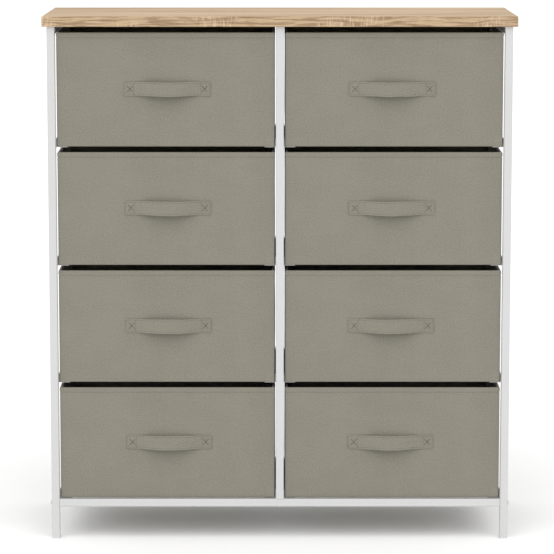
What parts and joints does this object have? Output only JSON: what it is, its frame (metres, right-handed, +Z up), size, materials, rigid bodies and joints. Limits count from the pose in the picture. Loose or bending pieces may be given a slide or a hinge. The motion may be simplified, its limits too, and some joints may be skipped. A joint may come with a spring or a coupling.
{
  "type": "fabric drawer dresser",
  "caption": "Free-standing dresser: side-by-side columns of fabric drawers with strap handles slide on angle runners in a white square-tube steel frame under a light oak-look top board.",
  "frame": {"origin": "on the floor, under the middle of the outline seen from above (the strap handles count in the depth)", "axes": "+Z up, drawers open towards -Y, +X is to the right when facing the drawers"},
  "size_m": [0.83, 0.304, 0.932],
  "materials": {
    "white_steel": "satin white powder coat",
    "oak_laminate": "matte light oak-look laminate over particle board",
    "drawer_fabric": "greige non-woven fabric",
    "strap_fabric": "greige fabric webbing, sewn",
    "stiffener_board": "raw grey-brown board",
    "base_board": "raw fibreboard",
    "foot_plastic": "off-white moulded plastic",
    "bolt_steel": "light grey painted steel",
    "zinc_steel": "zinc-plated steel"
  },
  "bodies": {
    "frame": {"top_board": "oak_laminate", "left_front_post": "white_steel", "left_rear_post": "white_steel", "mid_front_post": "white_steel", "mid_rear_post": "white_steel", "right_front_post": "white_steel", "right_rear_post": "white_steel", "left_top_rail": "white_steel", "mid_top_rail": "white_steel", "right_top_rail": "white_steel", "bottom_front_rail": "white_steel", "bottom_rear_rail": "white_steel", "foot_caps": "foot_plastic", "frame_bolts": "bolt_steel", "nut_inserts": "zinc_steel", "top_screws": "zinc_steel", "left_runner_1": "white_steel", "mid_runners_1": "white_steel", "right_runner_1": "white_steel", "left_runner_2": "white_steel", "mid_runners_2": "white_steel", "right_runner_2": "white_steel", "left_runner_3": "white_steel", "mid_runners_3": "white_steel", "right_runner_3": "white_steel", "left_runner_4": "white_steel", "mid_runners_4": "white_steel", "right_runner_4": "white_steel"},
    "left_drawer_1": {"left_drawer_1_cover": "drawer_fabric", "left_drawer_1_wall_boards": "stiffener_board", "left_drawer_1_base_board": "base_board", "left_drawer_1_strap": "strap_fabric"},
    "left_drawer_2": {"left_drawer_2_cover": "drawer_fabric", "left_drawer_2_wall_boards": "stiffener_board", "left_drawer_2_base_board": "base_board", "left_drawer_2_strap": "strap_fabric"},
    "left_drawer_3": {"left_drawer_3_cover": "drawer_fabric", "left_drawer_3_wall_boards": "stiffener_board", "left_drawer_3_base_board": "base_board", "left_drawer_3_strap": "strap_fabric"},
    "left_drawer_4": {"left_drawer_4_cover": "drawer_fabric", "left_drawer_4_wall_boards": "stiffener_board", "left_drawer_4_base_board": "base_board", "left_drawer_4_strap": "strap_fabric"},
    "right_drawer_1": {"right_drawer_1_cover": "drawer_fabric", "right_drawer_1_wall_boards": "stiffener_board", "right_drawer_1_base_board": "base_board", "right_drawer_1_strap": "strap_fabric"},
    "right_drawer_2": {"right_drawer_2_cover": "drawer_fabric", "right_drawer_2_wall_boards": "stiffener_board", "right_drawer_2_base_board": "base_board", "right_drawer_2_strap": "strap_fabric"},
    "right_drawer_3": {"right_drawer_3_cover": "drawer_fabric", "right_drawer_3_wall_boards": "stiffener_board", "right_drawer_3_base_board": "base_board", "right_drawer_3_strap": "strap_fabric"},
    "right_drawer_4": {"right_drawer_4_cover": "drawer_fabric", "right_drawer_4_wall_boards": "stiffener_board", "right_drawer_4_base_board": "base_board", "right_drawer_4_strap": "strap_fabric"}
  },
  "joints": [
    {"name": "left_drawer_1_slide", "type": "slide", "parent": "frame", "child": "left_drawer_1", "axis": [0, -1, 0], "range_m": [0, 0.2]},
    {"name": "left_drawer_2_slide", "type": "slide", "parent": "frame", "child": "left_drawer_2", "axis": [0, -1, 0], "range_m": [0, 0.2]},
    {"name": "left_drawer_3_slide", "type": "slide", "parent": "frame", "child": "left_drawer_3", "axis": [0, -1, 0], "range_m": [0, 0.2]},
    {"name": "left_drawer_4_slide", "type": "slide", "parent": "frame", "child": "left_drawer_4", "axis": [0, -1, 0], "range_m": [0, 0.2]},
    {"name": "right_drawer_1_slide", "type": "slide", "parent": "frame", "child": "right_drawer_1", "axis": [0, -1, 0], "range_m": [0, 0.2]},
    {"name": "right_drawer_2_slide", "type": "slide", "parent": "frame", "child": "right_drawer_2", "axis": [0, -1, 0], "range_m": [0, 0.2]},
    {"name": "right_drawer_3_slide", "type": "slide", "parent": "frame", "child": "right_drawer_3", "axis": [0, -1, 0], "range_m": [0, 0.2]},
    {"name": "right_drawer_4_slide", "type": "slide", "parent": "frame", "child": "right_drawer_4", "axis": [0, -1, 0], "range_m": [0, 0.2]}
  ]
}
